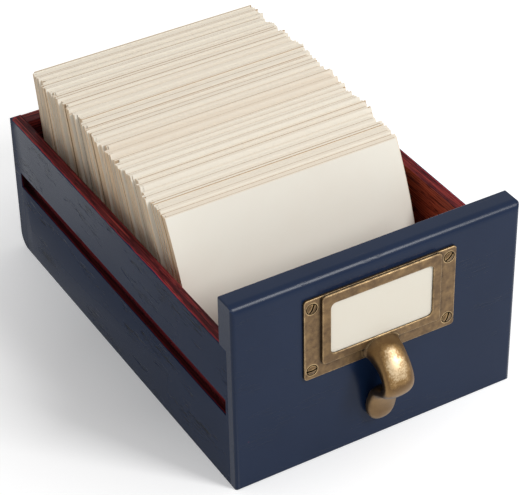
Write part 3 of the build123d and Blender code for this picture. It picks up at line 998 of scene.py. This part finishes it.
# one packet, of which each card is a thin bowed box with corners of its own on every face
def packetOfCards(number, habits, firstCard, count):
    name = "front_packet" if number == 0 else f"card_packet_{number:02d}"
    span = cards["backFoot"] - cards["frontFoot"]
    first = number / cards["packets"]
    last = (number + 1) / cards["packets"] - cards["air"] / span
    build = bmesh.new()
    toneLayer = build.verts.layers.float.new("tone")
    cutAndShadeLayer = build.verts.layers.float.new("cut")
    bends = cards["bends"]
    half = cards["width"] / 2

    def cardRow(points, tone, cut):
        row = vertexRing(build, points)
        for vertex in row:
            vertex[toneLayer] = tone
            vertex[cutAndShadeLayer] = cut
        return row

    for index in range(count):
        habit = habits[firstCard + index]
        share = first + (last - first) * index / count
        front = cardStance(share)
        rear = cardStance(share + cards["thickness"] * habit["thin"] / span)
        middle = math.sin(math.pi * share)
        shift = cards["sway"][number] + habit["shift"] + cards["midShift"] * middle
        tilt = math.radians(cards["midTilt"]) * middle
        length = cards["height"] - habit["trim"]
        room = cards["headTop"] - cardPoint(front, length)[1] - tilt * cards["width"]
        lift = min(habit["lift"], room)
        loops = []
        for bend in range(bends + 1):
            along = length * bend / bends + lift
            loop = []
            for x, stance in ((-half, front), (half, front), (half, rear), (-half, rear)):
                y, z = cardPoint(stance, along)
                loop.append((shift + x - tilt * along, y, z + tilt * (x + half)))
            loops.append(loop)
        # a packet's first card has no low one right in front of it, so no painted gap shade
        face = habit["face"] if index else min(habit["face"], cards["plainFace"])
        for side, cut in enumerate((face, habit["edge"], face, habit["edge"])):
            strip = [
                cardRow([loop[side], loop[(side + 1) % 4]], habit["tone"], cut)
                for loop in loops]
            for low, high in zip(strip, strip[1:]):
                build.faces.new((low[0], low[1], high[1], high[0]))
        for loop in (loops[0][::-1], loops[-1]):
            build.faces.new(cardRow(loop, habit["tone"], habit["head"]))
    packet = builtObject(name + "_cards", build)
    packet.data.polygons.foreach_set("use_smooth", [True] * len(packet.data.polygons))
    setMaterial(packet, creamStock)
    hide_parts(name)
    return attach(packet, "front_cards" if number == 0 else "card_deck")


packetSpan = (cards["backFoot"] - cards["frontFoot"]) / cards["packets"] - cards["air"]
packetCount = round(packetSpan / cards["pitch"])
fileHabits = cardHabits(packetCount * cards["packets"], random.Random(cards["seed"]))
for packetNumber in range(cards["packets"]):
    packetOfCards(packetNumber, fileHabits, packetNumber * packetCount, packetCount)
print("cards made")

label = {
    "corner": 0.8, "tone": 0.45,
    "face": "#dcd6c8", "warm": "#dcd2c0", "cool": "#dad6ca",
    "cut": "#b18a55", "gapShade": "#7d5c36",
    "fibre": 0.5, "cloud": 15.0,          # mm
}
labelStock = cardStock("cream_label_paper", label)


# bare paper label in its slot, with clipped corners
def paperLabel():
    low, high = (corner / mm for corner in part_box("label_card"))
    middle = (low.x + high.x) / 2
    outline = roundedOutline(high.x - low.x, low.z, high.z, label["corner"])
    build = bmesh.new()
    toneLayer = build.verts.layers.float.new("tone")
    sides = [vertexRing(build, [(middle + x, y, z) for x, z in outline]) for y in (low.y, high.y)]
    for vertex in build.verts:
        vertex[toneLayer] = label["tone"]
    piece = slabObject("label_paper", build, *sides)
    setMaterial(piece, labelStock)
    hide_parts("label_card")
    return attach(piece, "label")


paperLabel()
print("label made")

# Pins and floor panel, carried over from CAD

pins = {
    "dark": "#8d8e90", "light": "#b4b5b6",
    "scoreLength": 16.0, "scoreWidth": 0.33,     # mm
}


# Drawn steel wire, dull grey and finely scored along its length.
def drawnSteel(name, spec):
    material, tree = newMaterial(name)
    place = addNode(tree, "TexCoord").outputs["Object"]
    along, across = 1 / (spec["scoreLength"] * mm), 1 / (spec["scoreWidth"] * mm)
    scoring = addNode(tree, "TexNoise", {
        "Vector": addNode(tree, "Mapping", {"Vector": place, "Scale": (along, across, across)}),
        "Scale": 1.0, "Detail": 2.0})
    colour = addNode(tree, "ValToRGB", {"Fac": scoring}, stops=[
        (0.3, spec["dark"]), (0.7, spec["light"])])
    roughness = addNode(tree, "MapRange", {"Value": scoring, "To Min": 0.3, "To Max": 0.5})
    shader = addNode(tree, "BsdfPrincipled", {
        "Base Color": colour, "Metallic": 1.0, "Roughness": roughness})
    return finishMaterial(material, tree, shader)


# Thin oak-faced board, stained the same red as the insides of the boards.
def stainedPanel(name, spec):
    material, tree = newMaterial(name)
    place = addNode(tree, "TexCoord").outputs["Object"]
    across, along = 1 / (spec["panelGrainWidth"] * mm), 1 / (spec["grainLength"] * mm)
    streakSpace = addNode(tree, "Mapping", {"Vector": place, "Scale": (across, along, across)})
    streaks = addNode(tree, "TexNoise", {
        "Vector": streakSpace, "Scale": 1.0, "Detail": 4.0, "Roughness": 0.6, "Distortion": 0.5})
    colour = addNode(tree, "ValToRGB", {"Fac": streaks}, stops=[
        (0.32, spec["stainDark"]), (0.5, spec["stainMid"]), (0.7, spec["stainLight"])])
    bump = addNode(tree, "Bump", {"Strength": 0.2, "Distance": 0.1 * mm, "Height": streaks})
    shader = addNode(tree, "BsdfPrincipled", {
        "Base Color": colour, "Roughness": 0.5, "IOR": 1.5, "Normal": bump})
    return finishMaterial(material, tree, shader)


pinSteel = drawnSteel("drawn_steel_wire", pins)
panelWood = stainedPanel("red_stained_floor_panel", wood)
for nodeName, finish in (
        ("bottom_panel", panelWood), ("front_pins", pinSteel), ("back_pins", pinSteel)):
    setMaterial(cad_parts[nodeName], finish)

# The studio

studio = {
    "floorColour": "#f6f6f6", "floorGlow": 0.1, "skyColour": "#ffffff", "skyStrength": 0.62,
    "floorSize": 12.0,           # m
    # painted light: the floor's glow, which lightens the object's shadow away from the drawer,
    # grows between these distances in m from the middle of the shade
    "shadeMiddle": (-0.09, 0.0, 0.0), "whiteFrom": 0.04, "whiteBy": 0.22, "whiteGlow": 0.35,
    # name, place in m, what it looks at, width, height, watts
    "lights": (
        ("front_softbox", (0.80, -1.37, 1.38), (0.0, -0.05, 0.06), 0.5, 0.7, 22.0),
    ),
}


# 1 for the rays that show the background: the camera's own and those through gloss or glass
def seenRays(tree):
    rays = addNode(tree, "LightPath")
    direct = addNode(tree, "Math", {
        0: rays.outputs["Is Camera Ray"], 1: rays.outputs["Is Glossy Ray"]}, operation="MAXIMUM")
    return addNode(tree, "Math", {
        0: direct, 1: rays.outputs["Is Transmission Ray"]}, operation="MAXIMUM")


# White paper: matt, it holds the object's soft shadow, which a painted glow lightens away from
# the drawer's left until it runs out into plain white.
def studioFloor():
    size = studio["floorSize"] / 2
    build = bmesh.new()
    build.faces.new([
        build.verts.new((x * size, y * size, 0)) for x, y in ((-1, -1), (1, -1), (1, 1), (-1, 1))])
    floor = builtObject("studio_floor", build)
    material, tree = newMaterial("white_studio_paper")
    matt = addNode(tree, "BsdfDiffuse", {"Color": linearColour(studio["floorColour"])})
    away = addNode(tree, "VectorMath", {
        0: addNode(tree, "NewGeometry").outputs["Position"], 1: studio["shadeMiddle"]},
        operation="DISTANCE")
    # painted light: the floor's glow is weakest at the middle of the shade
    white = addNode(tree, "MapRange", {
        "Value": away.outputs["Value"], "From Min": studio["whiteFrom"],
        "From Max": studio["whiteBy"], "To Min": studio["floorGlow"],
        "To Max": studio["whiteGlow"]})
    glow = addNode(tree, "Emission", {
        "Color": (1, 1, 1, 1), "Strength": addNode(tree, "Math", {
            0: seenRays(tree), 1: white}, operation="MULTIPLY")})
    both = addNode(tree, "AddShader", {0: matt, 1: glow})
    floor.data.materials.append(finishMaterial(material, tree, both))


def studioSky():
    world = bpy.data.worlds.new("studio_sky")
    bpy.context.scene.world = world
    world.use_nodes = True
    tree = world.node_tree
    tree.nodes.clear()
    strength = addNode(tree, "MapRange", {
        "Value": seenRays(tree), "To Min": studio["skyStrength"], "To Max": 1.0})
    sky = addNode(tree, "Background", {
        "Color": linearColour(studio["skyColour"]), "Strength": strength})
    addNode(tree, "OutputWorld", {"Surface": sky})


def studioLights():
    for name, place, target, width, height, watts in studio["lights"]:
        lamp = bpy.data.lights.new(name, "AREA")
        lamp.shape = "RECTANGLE"
        lamp.size, lamp.size_y, lamp.energy = width, height, watts
        light = sceneObject(name, lamp)
        light.location = place
        aim = Vector(target) - Vector(place)
        light.rotation_euler = aim.to_track_quat("-Z", "Y").to_euler()


viewpoint = {
    "place": (-0.50747, -0.88203, 0.79911), "azimuth": -29.79, "elevation": 36.24,
    "roll": -1.26, "lens": 147.13,
}


def studioCamera():
    turn, lift = math.radians(viewpoint["azimuth"]), math.radians(viewpoint["elevation"])
    roll = math.radians(viewpoint["roll"])
    back = Vector((
        math.sin(turn) * math.cos(lift), -math.cos(turn) * math.cos(lift), math.sin(lift)))
    right = Vector((0, 0, 1)).cross(back).normalized()
    up = back.cross(right)
    level = Matrix((right, up, back)).transposed()
    lens = bpy.data.cameras.new("studio_camera")
    lens.lens = viewpoint["lens"]
    lens.sensor_width = 36
    lens.clip_start, lens.clip_end = 0.05, 50
    camera = sceneObject("studio_camera", lens)
    camera.matrix_world = (
        Matrix.Translation(viewpoint["place"])
        @ (level @ Matrix.Rotation(roll, 3, "Z")).to_4x4())
    bpy.context.scene.camera = camera


studioFloor()
studioSky()
studioLights()
studioCamera()
bpy.context.scene.view_settings.view_transform = "Standard"
print("studio made")
